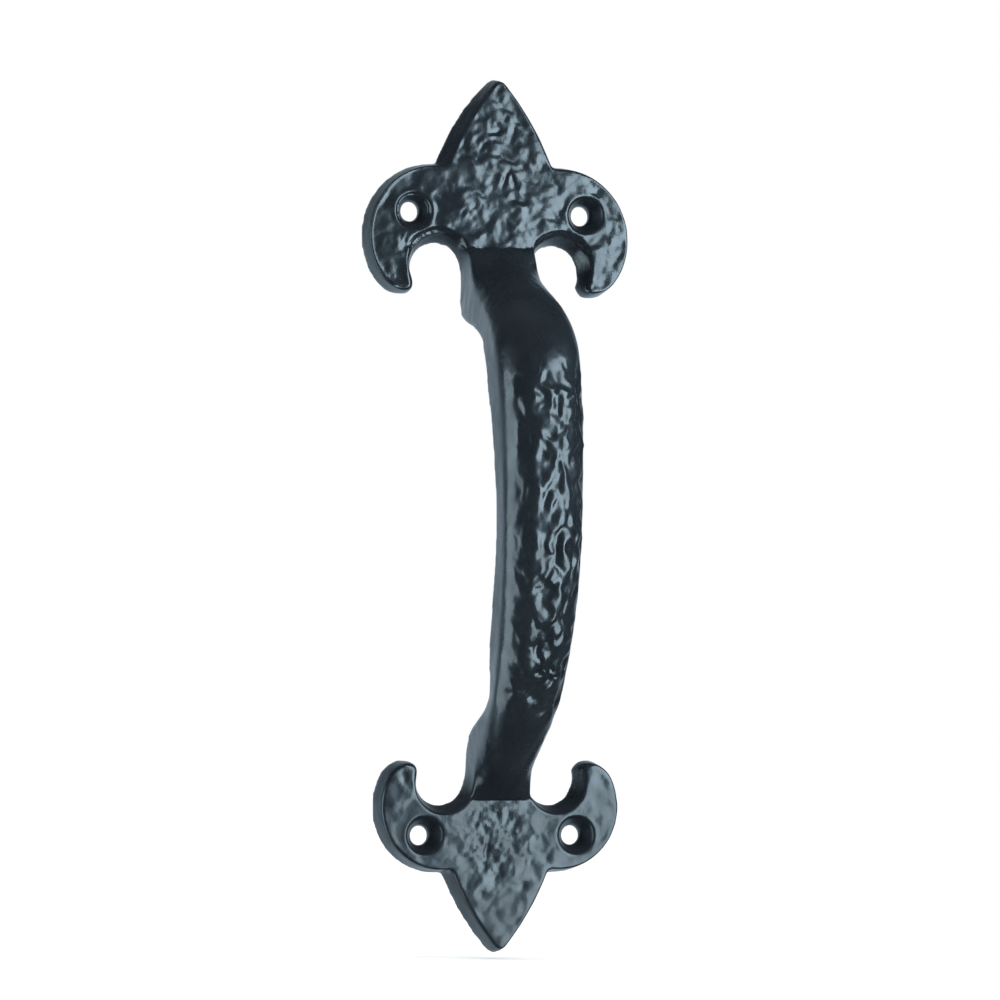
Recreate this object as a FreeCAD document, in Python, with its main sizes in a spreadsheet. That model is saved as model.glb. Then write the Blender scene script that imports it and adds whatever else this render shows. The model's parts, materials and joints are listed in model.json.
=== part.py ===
import FreeCAD, Part
import math
import os

import Sketcher
from FreeCAD import Placement, Rotation, Vector

# A cast pull handle: a bowed grip between two fleur-shaped fixing plates.
# Frame, in millimetres: +Z up along the handle, the mounting plane is Y = 0, the grip bows out
# towards -Y, and +X is to the right seen from the front. The origin is on the mounting plane,
# midway between the upper pair of screw holes and the lower pair.

doc = FreeCAD.newDocument("fleur_pull_handle")
sheet = doc.addObject("Spreadsheet::Sheet", "sizes")

# Driving dimensions that both plates share.
SHARED = {
    "hole_line": 64.7,        # height of each pair of screw holes above or below the origin
    "plate_thick": 5.5,
    "flare": 0.8,             # how much further out each plate's outline is at its back
    "notch_shift": 0.4,       # how much nearer the centre line the notches are at the back
    "tip_round": 1.1,
    "tip_flare": 0.9,         # how much rounder the spear's tip is at the back
    "tip_slope": 38.0,
    "screw_bore": 4.0,
    "sink_width": 8.4,
    "sink_angle": 60.0,
}

# Each plate's front face, measured from the middle of its own pair of holes. "out" is sideways,
# "up" is towards the spear's tip and "down" is towards the grip. Turns are angles in degrees.
# A part's flare is how much further out it is at the back. There the swell rounds the spear's sides,
# and the drop moves the notches away from the spear.
PLATES = {
    "upper": {
        "tip_up": 27.5, "spear_radius": 62.0, "cusp_out": 11.4, "spear_flare": 1.6, "spear_swell": 18.0,
        "lobe_out": 13.7, "lobe_down": 5.2, "lobe_radius": 14.7, "lobe_turn": 35.0,
        "horn_out": 19.0, "horn_down": 16.5, "horn_radius": 7.4, "horn_turn": 35.0, "horn_flare": 1.0,
        "notch_out": 13.4, "notch_down": 10.5, "notch_radius": 7.1, "notch_flare": 1.8, "notch_drop": 1.4,
        "hole_out": 18.9, "crease_down": 7.1,
    },
    "lower": {
        "tip_up": 23.7, "spear_radius": 60.0, "cusp_out": 10.6, "spear_flare": 1.0, "spear_swell": 10.0,
        "lobe_out": 13.0, "lobe_down": 5.9, "lobe_radius": 13.0, "lobe_turn": 30.0,
        "horn_out": 18.4, "horn_down": 14.9, "horn_radius": 5.9, "horn_turn": 28.0, "horn_flare": 0.8,
        "notch_out": 12.5, "notch_down": 10.5, "notch_radius": 6.3, "notch_flare": 1.4, "notch_drop": 0.9,
        "hole_out": 16.7, "crease_down": 7.3,
    },
}

# The bow, as D-shaped cross-sections from the upper crease to the lower one. "rise" is how far
# its back stands off the mounting plane, "height" is where its back is, "lean" is the tilt of
# the section in degrees, "wall" is the flat side behind the rounded front, and "skirt" is how
# much further out each side is at its back.
BOW_KEYS = ("rise", "height", "lean", "wide", "deep", "wall", "skirt")
BOW_ROWS = {
    "upper_end": (0.0, 57.6, 0.0, 14.8, 5.5, 4.9, 3.3),
    "upper_neck": (0.1, 53.6, 15.0, 14.6, 8.9, 6.9, 0.5),
    "upper_foot": (0.2, 46.8, 28.0, 15.0, 13.6, 9.2, 0.0),
    "upper_leg": (11.2, 40.0, 25.7, 16.8, 14.8, 8.0, 0.0),
    "upper_turn": (20.8, 30.6, 13.0, 18.4, 14.7, 6.8, 0.0),
    "crown": (25.2, 10.0, 2.0, 17.8, 12.8, 5.4, 0.0),
    "waist": (24.6, -8.0, -3.0, 17.2, 12.2, 5.4, 0.0),
    "lower_turn": (20.0, -24.2, -11.0, 16.2, 12.5, 5.9, 0.0),
    "lower_leg": (11.4, -39.7, -28.0, 14.0, 10.4, 4.6, 0.0),
    "lower_foot": (0.2, -49.6, -22.0, 12.6, 10.8, 6.8, 0.0),
    "lower_neck": (0.1, -53.6, -14.6, 12.8, 8.0, 6.0, 0.5),
    "lower_end": (0.0, -57.4, 0.0, 13.4, 5.5, 4.9, 2.7),
}
BOW = {station: dict(zip(BOW_KEYS, row)) for station, row in BOW_ROWS.items()}

ORIGIN = (-1, 1)
START, END, CENTRE = 1, 2, 3
SAME_SPOT = 1e-4
TILT_AXIS = Vector(-1, 0, 0)
TRIM_REACH = 100.0          # past every edge of the bow


def fill_sheet():
    """Writes every driving dimension as a plain number with an alias of its own."""
    rows = dict(SHARED)
    for group in (PLATES, BOW):
        for owner, values in group.items():
            for key, value in values.items():
                rows[f"{owner}_{key}"] = value
    for row, (alias, value) in enumerate(rows.items(), start=1):
        sheet.set(f"A{row}", alias)
        sheet.set(f"B{row}", str(value))
        sheet.setAlias(f"B{row}", alias)
    doc.recompute()


def origin_plane(body, role):
    """One of the body's own origin planes, found by its role."""
    for feature in body.Origin.OriginFeatures:
        if feature.Role == role:
            return feature
    raise ValueError(f"{body.Name} has no {role}")


def new_body(label):
    body = doc.addObject("PartDesign::Body", label)
    body.Label = label
    body.Placement = Placement(Vector(0, 0, 0), Rotation())
    return body


def new_sketch(body, name, role):
    sketch = body.newObject("Sketcher::SketchObject", name)
    sketch.AttachmentSupport = (origin_plane(body, role), "")
    sketch.MapMode = "FlatFace"
    return sketch


def drive(sketch, kind, places, value, expression):
    """Adds a dimension near its final value and lets the sheet drive it."""
    index = sketch.addConstraint(Sketcher.Constraint(kind, *places, value))
    sketch.setExpression(f"Constraints[{index}]", expression)


def number(formula):
    return float(sheet.evalExpression(formula))


def pin(sketch, edge, point, across, height):
    """Ties a point of an edge to formulas for its distances from the origin; None leaves one free."""
    if across:
        drive(sketch, "DistanceX", (*ORIGIN, edge, point), number(across), across)
    if height:
        drive(sketch, "DistanceY", (*ORIGIN, edge, point), number(height), height)


def end_at(sketch, edge, spot):
    """Which end of an edge lies at a spot: a sketch may store an arc the other way round."""
    for point in (START, END):
        if sketch.getPoint(edge, point).distanceToPoint(spot) < SAME_SPOT:
            return point
    raise ValueError(f"{sketch.Name}: edge {edge} doesn't reach {spot}")


def join_edges(sketch, edges, corners):
    """Makes a closed outline: each edge meets the next at the corner between them."""
    for index, corner in enumerate(corners):
        following = edges[(index + 1) % len(edges)]
        first = (edges[index], end_at(sketch, edges[index], corner))
        second = (following, end_at(sketch, following, corner))
        sketch.addConstraint(Sketcher.Constraint("Coincident", *first, *second))


def arc_over(start, end, radius, turn):
    """The shorter arc from start to end, bulging to the left of the way for turn 1 or right for -1."""
    chord = end - start
    left = Vector(-chord.y, chord.x, 0).normalize()
    bulge = radius - math.sqrt(radius ** 2 - (chord.Length / 2) ** 2)
    return Part.Arc(start, (start + end) / 2 + left * bulge * turn, end)


def plate_face(body, name, plate, at_back):
    """Draws one face of a plate: the front one, or the wider one on the mounting plane."""
    depth = "0 * sizes.plate_thick" if at_back else "sizes.plate_thick"
    grow = f"{int(at_back)} * sizes.flare"
    sketch = new_sketch(body, name, "XZ_Plane")
    sketch.setExpression(".AttachmentOffset.Base.z", depth)
    doc.recompute()
    own = f"sizes.{plate}_"
    sign = 1 if plate == "upper" else -1

    tip_round = f"(sizes.tip_round + {int(at_back)} * sizes.tip_flare)"
    spear_radius = f"({own}spear_radius - {int(at_back)} * {own}spear_swell)"
    notch_out = f"({own}notch_out - {int(at_back)} * sizes.notch_shift)"
    lobe_radius = f"({own}lobe_radius + {grow})"
    notch_radius = f"({own}notch_radius - {int(at_back)} * {own}notch_flare)"
    notch_down = f"({own}notch_down + {int(at_back)} * {own}notch_drop)"
    cusp_out = f"({own}cusp_out + {int(at_back)} * {own}spear_flare)"
    neck_rise = f"({notch_down} - {own}crease_down)"
    places = {
        "tip": (f"{tip_round} * cos(sizes.tip_slope)",
                f"{own}tip_up + {grow} - {tip_round} * (1 - sin(sizes.tip_slope))"),
        "cusp": (cusp_out,
                 f"sqrt({lobe_radius}^2 - ({cusp_out} - {own}lobe_out)^2) - {own}lobe_down"),
        "lobe": (f"{own}lobe_out",
                 f"0 - {own}lobe_down"),
        "lobe_end": (f"{own}lobe_out + {lobe_radius} * cos({own}lobe_turn)",
                     f"0 - {own}lobe_down - {lobe_radius} * sin({own}lobe_turn)"),
        "horn": (f"{own}horn_out",
                 f"0 - {own}horn_down - {int(at_back)} * {own}horn_flare"),
        "notch_start": (f"{notch_out} + {notch_radius} * cos({own}horn_turn)",
                        f"0 - {notch_down} - {notch_radius} * sin({own}horn_turn)"),
        "notch": (f"{notch_out}",
                  f"0 - {notch_down}"),
        "neck": (f"{notch_out} - sqrt({notch_radius}^2 - {neck_rise}^2)",
                 f"0 - {own}crease_down"),
    }

    def formulas(side, key):
        out, up = places[key]
        return f"{side} * ({out})", f"{sign} * (sizes.hole_line + {up})"

    def spot(side, key):
        across, height = formulas(side, key)
        return Vector(number(across), number(height), 0)

    def circle_spot(side, key, radius, direction):
        outward = Vector(side * direction.x, sign * direction.y, 0).normalize()
        return spot(side, key) + outward * number(radius)

    corner_keys = ("tip", "cusp", "lobe_end", "horn", "notch_start", "neck")
    edges = {}
    corners = {}
    for side in (1, -1):
        turn = side * sign
        tip, cusp, lobe_end, horn, notch_start, neck = (spot(side, key) for key in corner_keys)
        lobe_top = circle_spot(side, "lobe", lobe_radius, Vector(1, 1, 0))
        notch_top = circle_spot(side, "notch", notch_radius, Vector(0, 1, 0))
        curves = [
            arc_over(tip, cusp, number(spear_radius), turn),
            Part.Arc(cusp, lobe_top, lobe_end),
            arc_over(lobe_end, horn, number(f"{own}horn_radius"), turn),
            Part.LineSegment(horn, notch_start),
            Part.Arc(notch_start, notch_top, neck),
        ]
        edges[side] = [sketch.addGeometry(curve, False) for curve in curves]
        corners[side] = [tip, cusp, lobe_end, horn, notch_start, neck]
    tip_top = Vector(0, sign * number(f"sizes.hole_line + {own}tip_up + {grow}"), 0)
    tip_edge = sketch.addGeometry(Part.Arc(corners[-1][0], tip_top, corners[1][0]), False)
    neck_edge = sketch.addGeometry(Part.LineSegment(corners[1][-1], corners[-1][-1]), False)

    loop = [tip_edge, *edges[1], neck_edge, *reversed(edges[-1])]
    join_edges(sketch, loop, [*corners[1], *reversed(corners[-1])])
    drive(sketch, "Radius", (tip_edge,), number(tip_round), tip_round)
    for side in (1, -1):
        spear, lobe, horn, flat, notch = edges[side]
        pin(sketch, spear, end_at(sketch, spear, corners[side][0]), *formulas(side, "tip"))
        pin(sketch, lobe, CENTRE, *formulas(side, "lobe"))
        pin(sketch, lobe, end_at(sketch, lobe, corners[side][1]), *formulas(side, "cusp"))
        pin(sketch, lobe, end_at(sketch, lobe, corners[side][2]), None, formulas(side, "lobe_end")[1])
        pin(sketch, flat, end_at(sketch, flat, corners[side][3]), *formulas(side, "horn"))
        pin(sketch, notch, CENTRE, *formulas(side, "notch"))
        pin(sketch, notch, end_at(sketch, notch, corners[side][4]), *formulas(side, "notch_start"))
        pin(sketch, notch, end_at(sketch, notch, corners[side][5]), None, formulas(side, "neck")[1])
        for edge, radius in ((spear, spear_radius), (horn, f"{own}horn_radius")):
            drive(sketch, "Radius", (edge,), number(radius), radius)
    return sketch


def make_plate(plate):
    """A flat plate, wider at its back, with two countersunk screw holes."""
    body = new_body(f"{plate}_fleur_plate")
    front = plate_face(body, f"{plate}_front", plate, at_back=False)
    back = plate_face(body, f"{plate}_back", plate, at_back=True)
    blank = body.newObject("PartDesign::AdditiveLoft", f"{plate}_blank")
    blank.Profile = front
    blank.Sections = [back]
    blank.Ruled = True
    doc.recompute()

    centres = new_sketch(body, f"{plate}_hole_centres", "XZ_Plane")
    centres.setExpression(".AttachmentOffset.Base.z", "sizes.plate_thick")
    sign = 1 if plate == "upper" else -1
    for side in (1, -1):
        across = f"{side} * sizes.{plate}_hole_out"
        height = f"{sign} * sizes.hole_line"
        start = Vector(number(across), number(height), 0)
        circle = Part.Circle(start, Vector(0, 0, 1), number("sizes.screw_bore") / 2)
        edge = centres.addGeometry(circle, False)
        drive(centres, "Diameter", (edge,), number("sizes.screw_bore"), "sizes.screw_bore")
        pin(centres, edge, CENTRE, across, height)
    doc.recompute()

    holes = body.newObject("PartDesign::Hole", f"{plate}_screw_holes")
    holes.Profile = centres
    holes.ThreadType = "None"
    holes.DepthType = "ThroughAll"
    holes.HoleCutType = "Countersink"
    holes.setExpression("Diameter", "sizes.screw_bore")
    holes.setExpression("HoleCutDiameter", "sizes.sink_width")
    holes.setExpression("HoleCutCountersinkAngle", "sizes.sink_angle")
    doc.recompute()
    return body


def bow_section(body, station):
    """One D-shaped section: a flat back, two flat sides and a rounded front."""
    sketch = new_sketch(body, f"section_{station}", "XY_Plane")
    own = f"sizes.{station}_"
    sketch.AttachmentOffset = Placement(Vector(0, 0, 0), Rotation(TILT_AXIS, 1))
    sketch.setExpression(".AttachmentOffset.Base.y", f"0 - {own}rise")
    sketch.setExpression(".AttachmentOffset.Base.z", f"{own}height")
    sketch.setExpression(".AttachmentOffset.Rotation.Angle", f"{own}lean")
    doc.recompute()
    half, wall, deep = f"{own}wide / 2", f"{own}wall", f"{own}deep"
    hem = f"({half} + {own}skirt)"
    crest = Vector(0, -number(deep), 0)
    right_back = Vector(number(hem), 0, 0)
    right_front = Vector(number(half), -number(wall), 0)
    left_front = Vector(-number(half), -number(wall), 0)
    left_back = Vector(-number(hem), 0, 0)
    corners = [right_back, right_front, left_front, left_back]
    curves = [
        Part.LineSegment(left_back, right_back),
        Part.LineSegment(right_back, right_front),
        Part.Arc(right_front, crest, left_front),
        Part.LineSegment(left_front, left_back),
    ]
    edges = [sketch.addGeometry(curve, False) for curve in curves]
    join_edges(sketch, edges, corners)
    back, right, front, left = edges
    pin(sketch, right, START, hem, "0 * " + hem)
    pin(sketch, right, END, half, f"0 - {wall}")
    pin(sketch, left, START, f"0 - {half}", f"0 - {wall}")
    pin(sketch, left, END, f"0 - {hem}", "0 * " + hem)
    dome = f"({deep} - {wall})"
    radius = f"(({half})^2 + {dome}^2) / (2 * {dome})"
    drive(sketch, "Radius", (front,), number(radius), radius)
    return sketch


def make_bow():
    """The grip and its two legs, lofted through the sections and trimmed flat on the mounting plane."""
    body = new_body("grip_bow")
    sections = [bow_section(body, station) for station in BOW]
    doc.recompute()
    bar = body.newObject("PartDesign::AdditiveLoft", "bar")
    bar.Profile = sections[0]
    bar.Sections = sections[1:]
    doc.recompute()

    wall_side = new_sketch(body, "wall_side", "XZ_Plane")
    corners = [Vector(x, z, 0) for x, z in ((-1, -1), (1, -1), (1, 1), (-1, 1))]
    edges = []
    for start, end in zip(corners, corners[1:] + corners[:1]):
        line = Part.LineSegment(start * TRIM_REACH, end * TRIM_REACH)
        edges.append(wall_side.addGeometry(line, False))
    join_edges(wall_side, edges, [corner * TRIM_REACH for corner in corners[1:] + corners[:1]])
    trim = body.newObject("PartDesign::Pocket", "flat_feet")
    trim.Profile = wall_side
    trim.Type = "ThroughAll"
    doc.recompute()
    if not trim.Shape.Volume < bar.Shape.Volume:
        raise RuntimeError("the feet weren't trimmed flat")
    return body


def check_document():
    """Stops if anything failed to build, before a single file is written."""
    for item in doc.Objects:
        if "Invalid" in item.State or "Error" in item.State:
            raise RuntimeError(f"{item.Name} failed: {item.State}")


def write_parts(bodies):
    os.makedirs("parts", exist_ok=True)
    for body in bodies:
        shape = body.Shape
        if shape.isNull() or not shape.isValid() or len(shape.Solids) != 1:
            raise RuntimeError(f"{body.Label} is not one valid solid")
        box = shape.BoundBox
        print(f"{body.Label}: {shape.Volume:.1f} mm3,"
              f" X {box.XMin:.2f} to {box.XMax:.2f}, Y {box.YMin:.2f} to {box.YMax:.2f},"
              f" Z {box.ZMin:.2f} to {box.ZMax:.2f}")
        shape.exportStep(f"parts/{body.Label}.step")


fill_sheet()
bodies = [make_plate("upper"), make_bow(), make_plate("lower")]
doc.recompute()
check_document()
write_parts(bodies)
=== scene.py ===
import json
import math
from itertools import product

import bmesh
import bpy
import numpy as np
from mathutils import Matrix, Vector
from mathutils.kdtree import KDTree


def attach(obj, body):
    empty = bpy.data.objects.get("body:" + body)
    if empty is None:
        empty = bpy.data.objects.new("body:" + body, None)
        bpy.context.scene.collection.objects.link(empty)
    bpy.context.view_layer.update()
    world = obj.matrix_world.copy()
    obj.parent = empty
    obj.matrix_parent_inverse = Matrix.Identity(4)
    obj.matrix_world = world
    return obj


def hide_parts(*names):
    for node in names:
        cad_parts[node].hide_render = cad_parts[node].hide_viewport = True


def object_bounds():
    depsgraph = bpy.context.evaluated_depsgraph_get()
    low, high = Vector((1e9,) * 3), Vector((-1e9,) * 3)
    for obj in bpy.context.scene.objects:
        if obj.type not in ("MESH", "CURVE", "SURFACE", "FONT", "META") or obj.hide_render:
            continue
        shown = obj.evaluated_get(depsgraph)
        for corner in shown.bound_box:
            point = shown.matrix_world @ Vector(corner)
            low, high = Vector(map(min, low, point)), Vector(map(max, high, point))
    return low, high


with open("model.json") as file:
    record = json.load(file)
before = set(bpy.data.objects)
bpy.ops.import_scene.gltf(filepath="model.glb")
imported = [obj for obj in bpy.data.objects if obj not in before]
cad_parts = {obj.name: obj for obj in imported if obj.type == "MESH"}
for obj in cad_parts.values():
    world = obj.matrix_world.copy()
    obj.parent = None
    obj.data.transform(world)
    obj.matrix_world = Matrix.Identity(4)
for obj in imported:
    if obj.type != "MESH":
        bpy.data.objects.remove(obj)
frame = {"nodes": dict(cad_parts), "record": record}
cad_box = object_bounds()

# The looks of a cast pull handle. The three CAD nodes are one casting, so one continuous skin
# replaces them: their shapes joined, their edges softened, and the hammered relief cut into it.
# Everything is in metres, +Z up along the handle, and its front faces -Y.
MM = 0.001

# ---- Camera: on the handle's left, level with its lower half ---------------------------------
VIEW_AZIMUTH = -20.0            # degrees; below zero is to the object's left
VIEW_ELEVATION = -2.2
VIEW_DISTANCE = 1.4
VIEW_LENS = 243.9               # mm
VIEW_TARGET = Vector((-2.7, -12.0, 4.6)) * MM
SENSOR_WIDTH = 36.0             # mm
NEAR_CLIP = 0.01

# ---- Skin ------------------------------------------------------------------------------------
VOXEL = 0.42 * MM
WELD = 0.001 * MM               # vertices closer than this are one
SOFTEN_STEPS = 6
HORN_TIPS = ((19.0, 48.5), (17.0, -50.5))   # across and along (mm), the same on both sides
HORN_REACH = (2.0 * MM, 4.5 * MM)           # fully rounded within the first, not beyond the second
HORN_STEPS = 30                 # the horns' blunt ends are rounder than the other edges
BORDER_STEPS = 4                # rounds the outlines again after the relief is cut

# ---- The plates' faces and walls -------------------------------------------------------------
PLATE_FRONT = -5.5 * MM         # the plates' front faces
CREASE = 57.5 * MM              # height of both creases, above and below the origin
CREASE_MARGIN = 0.3 * MM
FOOT_HALF = 8.0 * MM            # wider than half of the bow, where it meets a plate
FACE_FRONT = 1.0 * MM           # a face's vertices lie from this far before PLATE_FRONT
FACE_BACK = 1.5 * MM            # to this far behind it
WALL_FRONT = 0.2 * MM           # and the walls' front strip the same way
WALL_BACK = 2.2 * MM
WALL_FACING = 0.45              # a wall's normal points forwards or backwards less than this
WALL_HOLE_GAP = 4.8 * MM        # nearer to a hole's axis it is the hole's wall, not the plate's
FACING = (0.05, 0.75)           # the relief fades out as a face turns away from the front
HOLE_RIM = 4.2 * MM             # radius of the countersinks' mouths
HOLE_FADE = 0.8 * MM            # how far out from the mouths the relief is at full depth
BORDER_START = 0.2 * MM         # how far in from the plates' outline the relief begins
BORDER = 1.6 * MM               # how far in from the plates' outline the relief is at full depth
NO_WALL = 1.0                   # stands for the distance to the outline where there is none
UPPER_LEVEL = 0.36 * MM         # about the middle depth of each plate's relief
LOWER_LEVEL = 0.29 * MM
LEAN = math.tan(math.radians(2.8))
LEAN_FROM = 7.0 * MM            # how far left of the centre line the upper plate leans back from

# ---- The grip. Pairs are where a share goes from 0 to 1 ---------------------------------------
GRIP_FLAT = 0.55 * MM           # how far the hammer has flattened the grip's rounded front
FLAT_OUT = (-12 * MM, -22 * MM)             # out from the door
FLAT_LOW = (-46 * MM, -32 * MM)             # along the handle, at the flat's lower end
FLAT_HIGH = (40 * MM, 24 * MM)              # and at its upper end
FLAT_HALF = 5.2 * MM            # half the flat's width
FLAT_POWER = 1.5                # how suddenly it ends at the sides
GRIP_OUT = (-12 * MM, -20 * MM)
GRIP_LOW = (-43 * MM, -36 * MM)
GRIP_HIGH = (36 * MM, 27 * MM)
GRIP_LEFT = (-75, -30)          # turn of the surface from the front, in degrees
GRIP_RIGHT = (95, 50)
SHOULDER = (-32, -8)            # left of this, in degrees, the relief is shallower:
SHOULDER_SHARE = 0.6            # this share of its depth

# ---- Relief layers: seed, cell size across, out and along (mm), depth (mm), and whether ridged.
# The warp after each set is how far (mm) its cells are bent.
UPPER_LAYERS = (
    (11, (6.0, 6.0, 4.0), 0.50, False),
    (12, (2.6, 2.6, 1.7), 0.29, False),
    (13, (1.6, 1.6, 1.1), 0.13, True),
)
UPPER_WARP = 1.1
LOWER_LAYERS = (
    (21, (6.4, 6.4, 4.2), 0.38, False),
    (22, (3.2, 3.2, 2.2), 0.21, False),
    (23, (1.6, 1.6, 1.2), 0.06, False),
)
LOWER_WARP = 1.3
CRUMBLY_LAYERS = (
    (24, (2.2, 2.2, 1.6), 0.38, True),
    (25, (1.3, 1.3, 1.0), 0.22, True),
)
CRUMBLY_WARP = 1.0
CRUMBLY_PATCH = (-1.0, -66.0, 8.0)  # across, along and radius, on the lower plate (mm)
GRIP_LAYERS = (
    (31, (3.1, 3.1, 4.6), 1.30, False),
    (32, (2.1, 2.1, 3.0), 0.34, True),
    (33, (1.4, 1.4, 1.8), 0.08, False),
)
GRIP_WARP = 1.4
WRINKLES = (
    (41, (3.5, 3.5, 3.5), 0.05, False),
    (42, (1.8, 1.8, 4.6), 0.06, False),
)
WRINKLE_WARP = 0.8

# Single marks on the plates: across, along, half width, half length, turn (degrees), depth (mm).
MARKS = (
    (-0.1, 76.3, 0.9, 0.9, 0, 0.30),
    (-0.1, 76.3, 0.4, 0.4, 0, -0.26),
    (1.2, 72.2, 0.35, 1.7, -24, 0.34),
    (2.5, 72.2, 0.35, 1.6, 20, 0.30),
    (-0.8, 81.5, 1.6, 0.4, 12, 0.28),
    (2.4, 75.6, 1.7, 0.4, -14, 0.26),
    (-3.0, -67.6, 0.45, 2.8, -8, 0.40),
    (1.2, -69.0, 0.9, 0.9, 0, 0.26),
    (1.2, -69.0, 0.4, 0.4, 0, -0.24),
    (-0.6, -73.0, 1.5, 0.5, 18, 0.26),
    (4.8, -75.4, 0.8, 0.8, 0, 0.24),
    (-4.4, -77.0, 0.8, 0.7, 0, 0.24),
)

# ---- Noise -----------------------------------------------------------------------------------
TABLE = 256                     # the noise repeats after this many cells
NOISE_GAIN = 1.7                # brings it to about -1 to 1
RIDGE_SHIFT = 0.6
WARP_CELL = 4.0                 # mm
WARP_SEEDS = (1, 2, 3)

# ---- Paint -----------------------------------------------------------------------------------
PAINT_DARK = (0.0085, 0.0115, 0.0150, 1.0)
PAINT_LIGHT = (0.0130, 0.0170, 0.0220, 1.0)
PAINT_GLINT = (0.68, 0.87, 1.0, 1.0)
PAINT_IOR = 1.6
COAT = 0.25
COAT_ROUGHNESS = 0.12
PATCH_SCALE, PATCH_DETAIL = 90.0, 4.0
SHEEN_SCALE, SHEEN_DETAIL = 160.0, 3.0
SHEEN = (0.16, 0.36)            # the patchy roughness goes from the one to the other
LOWER_DULL = 0.14               # roughness added on the lower plate
LOWER_DULL_Z = (-0.060, -0.050)
GRIP_DULL = 0.05                # roughness added on the grip
GRIP_DULL_Y = (-0.020, -0.012)
PEEL_SCALE, PEEL_DEPTH = 900.0, 0.12 * MM
PEEL_SHARE = (1.0, 0.35)        # in the crumbly patch, and elsewhere
PEEL_REACH = (0.4, 1.2)         # from the one to the other between these shares of its radius
GRAIN_SCALE, GRAIN_DEPTH = 2600.0, 0.006 * MM
FINE_DETAIL = 2.0

# ---- Studio ----------------------------------------------------------------------------------
WHITE = (1.0, 1.0, 1.0, 1.0)
COOL = (0.86, 0.96, 1.0)
FRONT_ROLL = -4.0               # degrees; leans the front lamp's edge, to suit both plates
SUN_STRENGTH = 4.0
SUN_ANGLE = 110                 # degrees
ROOM_COLOUR = (0.70, 0.87, 1.0, 1.0)
ROOM_DARK, ROOM_BRIGHT = 0.017, 0.86
ROOM_RAMP = (0.48, 0.9)         # from dark to bright between these shares of straight behind
ROOM_HEIGHT = -0.35             # darker above and brighter below
FLOOR_COLOUR = (0.88, 0.88, 0.88, 1.0)
FLOOR_ROUGHNESS = 0.9
FLOOR_SPECULAR = 0.1
FLOOR_HALF = 6.0
FLOOR_GAP = 1.0 * MM            # between the handle's lower tip and the floor


def smooth_step(value, low, high):
    """0 at low, 1 at high, and smooth between them; low may be the larger."""
    part = np.clip((value - low) / (high - low), 0.0, 1.0)
    return part * part * (3.0 - 2.0 * part)


def noise(cells, seed):
    """Smooth gradient noise, about -1 to 1, at points counted in cells; the same every run."""
    rng = np.random.default_rng(seed)
    order = rng.permutation(TABLE)
    slopes = rng.normal(size=(TABLE, 3))
    slopes /= np.linalg.norm(slopes, axis=1, keepdims=True)
    corner = np.floor(cells).astype(int)
    part = cells - corner
    fade = part ** 3 * (part * (part * 6 - 15) + 10)
    total = np.zeros(len(cells))
    for step in product((0, 1), repeat=3):
        step = np.array(step)
        x, y, z = ((corner + step) % TABLE).T
        slope = slopes[order[(order[(order[x] + y) % TABLE] + z) % TABLE]]
        weight = np.where(step, fade, 1 - fade).prod(axis=1)
        total += weight * ((part - step) * slope).sum(axis=1)
    return total * NOISE_GAIN


def relief(points, layers, warp):
    """How deep the hammering is at each point, in metres, from 0 down."""
    bent = points / MM
    bent = bent + warp * np.stack([noise(bent / WARP_CELL, seed) for seed in WARP_SEEDS], axis=1)
    depth = np.zeros(len(points))
    for seed, cell, deep, ridged in layers:
        wave = noise(bent / np.array(cell), seed)
        if ridged:
            wave = 2 * np.abs(wave) - RIDGE_SHIFT
        depth += deep * (0.5 + 0.5 * wave)
    return np.maximum(depth, 0.0) * MM


def marks(points):
    """How deep the single marks are at each point, in metres."""
    depth = np.zeros(len(points))
    for across, along, half_width, half_length, turn, deep in MARKS:
        x, z = points[:, 0] / MM - across, points[:, 2] / MM - along
        cos, sin = math.cos(math.radians(turn)), math.sin(math.radians(turn))
        u, v = (x * cos + z * sin) / half_width, (z * cos - x * sin) / half_length
        depth += deep * MM * np.exp(-(u * u + v * v))
    return depth


# ---- Mesh helpers ----------------------------------------------------------------------------
def read(mesh, attribute):
    values = np.empty(len(mesh.vertices) * 3)
    mesh.vertices.foreach_get(attribute, values)
    return values.reshape(-1, 3)


def write(mesh, points):
    mesh.vertices.foreach_set("co", points.ravel())
    mesh.update()


def joined_copy(name, nodes):
    """A new object with the faces of several CAD nodes; the nodes themselves stay as they are."""
    build = bmesh.new()
    for node in nodes:
        build.from_mesh(frame["nodes"][node].data)
    bmesh.ops.remove_doubles(build, verts=build.verts, dist=WELD)
    mesh = bpy.data.meshes.new(name)
    build.to_mesh(mesh)
    build.free()
    piece = bpy.data.objects.new(name, mesh)
    bpy.context.scene.collection.objects.link(piece)
    return piece


def fuse(piece):
    """Makes one closed skin with no inner faces."""
    voxels = piece.modifiers.new("voxels", "REMESH")
    voxels.mode = "VOXEL"
    voxels.voxel_size = VOXEL
    view = bpy.context.evaluated_depsgraph_get()
    fused = bpy.data.meshes.new_from_object(piece.evaluated_get(view))
    piece.modifiers.clear()
    piece.data = fused


def soften(mesh, steps, share=1.0):
    """Moves every vertex half way to the middle of its neighbours, a few times, which rounds the
    edges. The share, one for all or one for each vertex, makes the moves smaller."""
    ends = np.empty(len(mesh.edges) * 2, int)
    mesh.edges.foreach_get("vertices", ends)
    first, second = ends.reshape(-1, 2).T
    points = read(mesh, "co")
    count = np.bincount(ends, minlength=len(points))[:, None]
    for _ in range(steps):
        total = np.zeros_like(points)
        for axis in range(3):
            total[:, axis] += np.bincount(first, points[second, axis], len(points))
            total[:, axis] += np.bincount(second, points[first, axis], len(points))
        points += 0.5 * share * (total / count - points)
    write(mesh, points)


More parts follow.
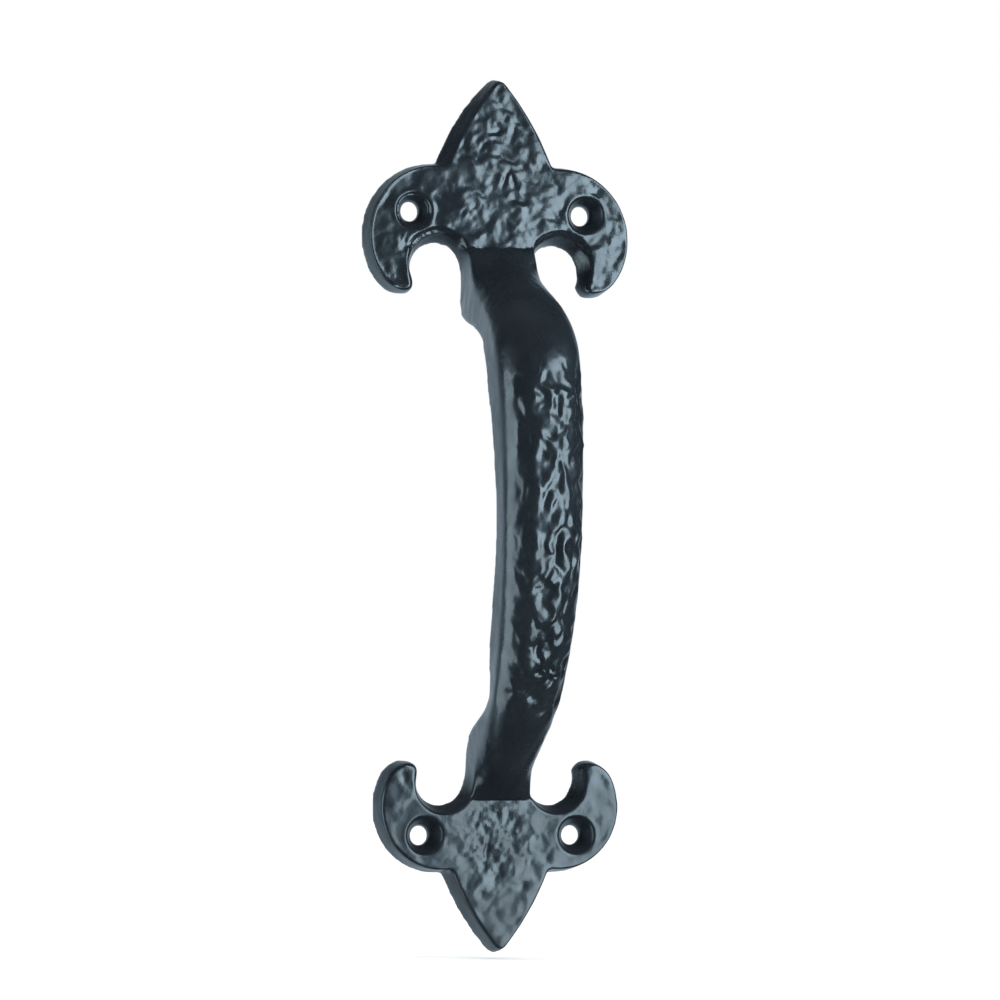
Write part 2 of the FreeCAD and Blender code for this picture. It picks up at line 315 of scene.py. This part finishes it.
def near_horn_tips(points):
    """1 at the four blunt ends of the horns and 0 away from them."""
    across, along = np.abs(points[:, 0]), points[:, 2]
    gaps = [np.hypot(across - x * MM, along - z * MM) for x, z in HORN_TIPS]
    return (1 - smooth_step(np.minimum(*gaps), *HORN_REACH))[:, None]


def hole_centres():
    """The four screw holes, from the record's bolt patterns."""
    centres = []
    for mount in frame["record"]["mounts"]:
        if mount["kind"] == "bolt_pattern":
            half = mount["dims"]["spacing_x_mm"] * MM / 2
            centres += [(side * half, mount["pos_m"][2]) for side in (-1, 1)]
    return np.array(centres)


def hole_distance(points):
    """How far each point is from the nearest screw hole's axis."""
    gaps = points[:, None, [0, 2]] - hole_centres()[None]
    return np.linalg.norm(gaps, axis=2).min(axis=1)


def edge_distance(points, faces, walls):
    """How far each point of the plates' faces is from the plates' outline, seen from the front."""
    tree = KDTree(int(walls.sum()))
    for index, (x, _, z) in enumerate(points[walls]):
        tree.insert((x, 0.0, z), index)
    tree.balance()
    distance = np.full(len(points), NO_WALL)
    for index in np.flatnonzero(faces):
        x, _, z = points[index]
        distance[index] = tree.find((x, 0.0, z))[2]
    return distance


# ---- The casting -----------------------------------------------------------------------------
def faces_and_walls(points, facing, holes):
    """The vertices of the plates' front faces, and those of the front strip of their walls."""
    x, y, z = points.T
    plates = (np.abs(z) > CREASE - CREASE_MARGIN) | (np.abs(x) > FOOT_HALF)
    faces = plates & (y > PLATE_FRONT - FACE_FRONT) & (y < PLATE_FRONT + FACE_BACK)
    walls = plates & (y > PLATE_FRONT - WALL_FRONT) & (y < PLATE_FRONT + WALL_BACK)
    walls &= (np.abs(facing) < WALL_FACING) & (holes > WALL_HOLE_GAP)
    return faces & (facing > FACING[0]), walls


def plate_relief(points):
    """How deep the relief is on the plates' faces."""
    x, _, z = points.T
    upper = relief(points, UPPER_LAYERS, UPPER_WARP)
    lower = relief(points, LOWER_LAYERS, LOWER_WARP)
    across, along, radius = CRUMBLY_PATCH
    crumbly = np.exp(-((x / MM - across) ** 2 + (z / MM - along) ** 2) / radius ** 2)
    lower += crumbly * relief(points, CRUMBLY_LAYERS, CRUMBLY_WARP)
    return np.maximum(np.where(z > 0, upper, lower) + marks(points), 0.0)


def grip_flat(points, facing):
    """1 along the middle of the grip's front, and 0 away from it."""
    x, y, z = points.T
    flat = smooth_step(y, *FLAT_OUT) * smooth_step(z, *FLAT_LOW) * smooth_step(z, *FLAT_HIGH)
    return flat * ((facing > 0) * np.maximum(0, 1 - (x / FLAT_HALF) ** 2) ** FLAT_POWER)


def grip_front(points, turn):
    """1 on the hammered front of the grip, less on its left shoulder, and 0 away from it."""
    _, y, z = points.T
    front = smooth_step(y, *GRIP_OUT)
    front *= smooth_step(z, *GRIP_LOW) * smooth_step(z, *GRIP_HIGH)
    front *= smooth_step(turn, *GRIP_LEFT) * smooth_step(turn, *GRIP_RIGHT)
    return front * (SHOULDER_SHARE + (1 - SHOULDER_SHARE) * smooth_step(turn, *SHOULDER))


def hammer(mesh):
    """Cuts the hammered relief into the plates' faces and the grip's front, always inwards."""
    points, normals = read(mesh, "co"), read(mesh, "normal")
    x, y, z = points.T              # these follow every change to the points
    facing = -normals[:, 1]
    holes = hole_distance(points)
    faces, walls = faces_and_walls(points, facing, holes)
    edge = edge_distance(points, faces, walls)

    # Around the outline and the holes the faces lie level with the middle of the relief, so that
    # no raised border is left there. The upper plate's left horn leans back a little.
    front = np.where(faces, smooth_step(facing, *FACING), 0.0)
    inside = smooth_step(edge, BORDER_START, BORDER)
    inside = inside * smooth_step(holes, HOLE_RIM, HOLE_RIM + HOLE_FADE)
    level = PLATE_FRONT + (1 - inside) * np.where(z > 0, UPPER_LEVEL, LOWER_LEVEL)
    points[:, 1] = np.where(faces | (holes < HOLE_RIM), np.maximum(y, level), y)
    points[:, 1] += front * (z > 0) * LEAN * np.maximum(-x - LEAN_FROM, 0.0)

    plate_mask = front * inside
    depth = plate_mask * plate_relief(points)

    points[:, 1] += GRIP_FLAT * grip_flat(points, facing)
    grip_mask = grip_front(points, np.degrees(np.arctan2(normals[:, 0], facing)))
    depth += grip_mask * relief(points, GRIP_LAYERS, GRIP_WARP)

    # Faint casting wrinkles on the legs and walls.
    depth += (1 - plate_mask) * (1 - grip_mask) * relief(points, WRINKLES, WRINKLE_WARP)
    write(mesh, points - normals * depth[:, None])
    soften(mesh, BORDER_STEPS, np.where(faces, 1 - inside, walls)[:, None])


# ---- Materials -------------------------------------------------------------------------------
def new_material(name):
    material = bpy.data.materials.new(name)
    material.use_nodes = True
    tree = material.node_tree
    return material, tree, tree.nodes["Principled BSDF"]


def coordinates(tree):
    for node in tree.nodes:
        if node.bl_idname == "ShaderNodeTexCoord":
            return node
    return tree.nodes.new("ShaderNodeTexCoord")


def noise_texture(tree, scale, detail):
    node = tree.nodes.new("ShaderNodeTexNoise")
    node.inputs["Scale"].default_value = scale
    node.inputs["Detail"].default_value = detail
    tree.links.new(coordinates(tree).outputs["Object"], node.inputs["Vector"])
    return node.outputs["Fac"]


def ranged(tree, source, low, high, start=0.3, stop=0.7):
    """Stretches start to stop, by default a texture's middle range, to low and high."""
    node = tree.nodes.new("ShaderNodeMapRange")
    node.inputs["From Min"].default_value = start
    node.inputs["From Max"].default_value = stop
    node.inputs["To Min"].default_value = low
    node.inputs["To Max"].default_value = high
    tree.links.new(source, node.inputs["Value"])
    return node.outputs["Result"]


def calculated(tree, operation, *values):
    """A maths node; its values are numbers or other nodes' outputs."""
    node = tree.nodes.new("ShaderNodeMath")
    node.operation = operation
    for socket, value in zip(node.inputs, values):
        if isinstance(value, float):
            socket.default_value = value
        else:
            tree.links.new(value, socket)
    return node.outputs["Value"]


def bump(tree, height, distance, under=None, strength=None):
    node = tree.nodes.new("ShaderNodeBump")
    node.inputs["Strength"].default_value = 1.0
    if strength:
        tree.links.new(strength, node.inputs["Strength"])
    node.inputs["Distance"].default_value = distance
    tree.links.new(height, node.inputs["Height"])
    if under:
        tree.links.new(under, node.inputs["Normal"])
    return node.outputs["Normal"]


def black_paint():
    """Blue-black satin gloss paint over a casting, uneven in its colour and its shine."""
    material, tree, shader = new_material("black_casting_paint")
    shader.inputs["IOR"].default_value = PAINT_IOR
    shader.inputs["Specular Tint"].default_value = PAINT_GLINT
    shader.inputs["Coat Weight"].default_value = COAT
    shader.inputs["Coat Roughness"].default_value = COAT_ROUGHNESS

    patches = noise_texture(tree, PATCH_SCALE, PATCH_DETAIL)
    colour = tree.nodes.new("ShaderNodeMix")
    colour.data_type = "RGBA"
    colour.inputs["A"].default_value = PAINT_DARK
    colour.inputs["B"].default_value = PAINT_LIGHT
    tree.links.new(ranged(tree, patches, 0.0, 1.0), colour.inputs["Factor"])
    tree.links.new(colour.outputs["Result"], shader.inputs["Base Color"])

    # The shine is patchy, and the lower plate and the worn grip are duller than the rest.
    sheen = ranged(tree, noise_texture(tree, SHEEN_SCALE, SHEEN_DETAIL), *SHEEN)
    place = tree.nodes.new("ShaderNodeSeparateXYZ")
    tree.links.new(coordinates(tree).outputs["Object"], place.inputs["Vector"])
    dull = ranged(tree, place.outputs["Z"], LOWER_DULL, 0.0, *LOWER_DULL_Z)
    worn = ranged(tree, place.outputs["Y"], GRIP_DULL, 0.0, *GRIP_DULL_Y)
    dull = calculated(tree, "ADD", dull, worn)
    tree.links.new(calculated(tree, "ADD", sheen, dull), shader.inputs["Roughness"])

    # The crumbly patch on the lower plate is grainier than the rest.
    across, along, radius = CRUMBLY_PATCH
    gap = tree.nodes.new("ShaderNodeVectorMath")
    gap.operation = "DISTANCE"
    gap.inputs[1].default_value = (across * MM, PLATE_FRONT, along * MM)
    tree.links.new(coordinates(tree).outputs["Object"], gap.inputs[0])
    reach = [share * radius * MM for share in PEEL_REACH]
    coarse = ranged(tree, gap.outputs["Value"], *PEEL_SHARE, *reach)
    peel = bump(tree, noise_texture(tree, PEEL_SCALE, FINE_DETAIL), PEEL_DEPTH, strength=coarse)
    grain = bump(tree, noise_texture(tree, GRAIN_SCALE, FINE_DETAIL), GRAIN_DEPTH, peel)
    tree.links.new(grain, shader.inputs["Normal"])
    return material


def pale_floor():
    material, _, shader = new_material("pale_floor")
    shader.inputs["Roughness"].default_value = FLOOR_ROUGHNESS
    shader.inputs["Specular IOR Level"].default_value = FLOOR_SPECULAR
    shader.inputs["Base Color"].default_value = FLOOR_COLOUR
    return material


# ---- Lights, room, camera and floor ----------------------------------------------------------
def direction(azimuth, elevation):
    """Unit vector from the object. Azimuth 0 is straight in front of it and 90 is to its right."""
    a, e = math.radians(azimuth), math.radians(elevation)
    return Vector((math.sin(a) * math.cos(e), -math.cos(a) * math.cos(e), math.sin(e)))


def aim(thing, target):
    thing.rotation_euler = (target - thing.location).to_track_quat("-Z", "Y").to_euler()


def softbox(name, azimuth, elevation, distance, width, height, watts, roll=0.0):
    lamp = bpy.data.lights.new(name, "AREA")
    lamp.shape = "RECTANGLE"
    lamp.size = width
    lamp.size_y = height
    lamp.energy = watts
    lamp.color = COOL
    box = bpy.data.objects.new(name, lamp)
    box.location = direction(azimuth, elevation) * distance
    bpy.context.scene.collection.objects.link(box)
    aim(box, Vector((0, 0, 0)))
    box.rotation_euler.rotate_axis("Z", math.radians(roll))
    box.visible_camera = False


def overhead():
    """Even light from straight above for the floor. The casting doesn't mirror it."""
    lamp = bpy.data.lights.new("overhead", "SUN")
    lamp.energy = SUN_STRENGTH
    lamp.angle = math.radians(SUN_ANGLE)
    sun = bpy.data.objects.new("overhead", lamp)
    bpy.context.scene.collection.objects.link(sun)
    sun.visible_glossy = False


def studio_world():
    """White where the camera looks. For light and reflections it is bright behind the object,
    more so below than above, and dark in front."""
    world = bpy.data.worlds.new("studio")
    bpy.context.scene.world = world
    world.use_nodes = True
    tree = world.node_tree
    tree.nodes.clear()
    output = tree.nodes.new("ShaderNodeOutputWorld")
    mix = tree.nodes.new("ShaderNodeMixShader")
    path = tree.nodes.new("ShaderNodeLightPath")
    seen = tree.nodes.new("ShaderNodeBackground")
    seen.inputs["Color"].default_value = WHITE
    room = tree.nodes.new("ShaderNodeBackground")
    room.inputs["Color"].default_value = ROOM_COLOUR
    axes = tree.nodes.new("ShaderNodeSeparateXYZ")
    tree.links.new(coordinates(tree).outputs["Generated"], axes.inputs["Vector"])
    height = calculated(tree, "MULTIPLY", axes.outputs["Z"], ROOM_HEIGHT)
    backwards = calculated(tree, "ADD", axes.outputs["Y"], height)
    behind = ranged(tree, backwards, ROOM_DARK, ROOM_BRIGHT, *ROOM_RAMP)
    tree.links.new(behind, room.inputs["Strength"])
    tree.links.new(path.outputs["Is Camera Ray"], mix.inputs["Fac"])
    tree.links.new(room.outputs["Background"], mix.inputs[1])
    tree.links.new(seen.outputs["Background"], mix.inputs[2])
    tree.links.new(mix.outputs["Shader"], output.inputs["Surface"])


def make_camera():
    lens = bpy.data.cameras.new("camera")
    lens.lens = VIEW_LENS
    lens.sensor_width = SENSOR_WIDTH
    lens.clip_start = NEAR_CLIP
    camera = bpy.data.objects.new("camera", lens)
    camera.location = VIEW_TARGET + direction(VIEW_AZIMUTH, VIEW_ELEVATION) * VIEW_DISTANCE
    bpy.context.scene.collection.objects.link(camera)
    aim(camera, VIEW_TARGET)
    bpy.context.scene.camera = camera


def make_floor():
    height = cad_box[0].z - FLOOR_GAP
    build = bmesh.new()
    corners = []
    for side_x, side_y in ((-1, -1), (1, -1), (1, 1), (-1, 1)):
        corners.append(build.verts.new((side_x * FLOOR_HALF, side_y * FLOOR_HALF, height)))
    build.faces.new(corners)
    mesh = bpy.data.meshes.new("floor")
    build.to_mesh(mesh)
    build.free()
    floor = bpy.data.objects.new("floor", mesh)
    bpy.context.scene.collection.objects.link(floor)
    mesh.materials.append(pale_floor())
    floor.visible_glossy = False


# ---- The scene -------------------------------------------------------------------------------
make_camera()

nodes = sorted(frame["nodes"])
skin = joined_copy("casting_skin", nodes)
fuse(skin)
soften(skin.data, SOFTEN_STEPS)
soften(skin.data, HORN_STEPS, near_horn_tips(read(skin.data, "co")))
hammer(skin.data)
for polygon in skin.data.polygons:
    polygon.use_smooth = True
skin.data.materials.clear()
skin.data.materials.append(black_paint())
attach(skin, "root")
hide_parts(*nodes)

studio_world()
softbox("front_right", azimuth=35.5, elevation=-5, distance=0.30, width=0.16, height=0.34,
        watts=1.22, roll=FRONT_ROLL)
softbox("left", azimuth=-92, elevation=-13, distance=0.60, width=0.42, height=0.68, watts=3.3)
overhead()
make_floor()
bpy.context.scene.view_settings.view_transform = "Standard"
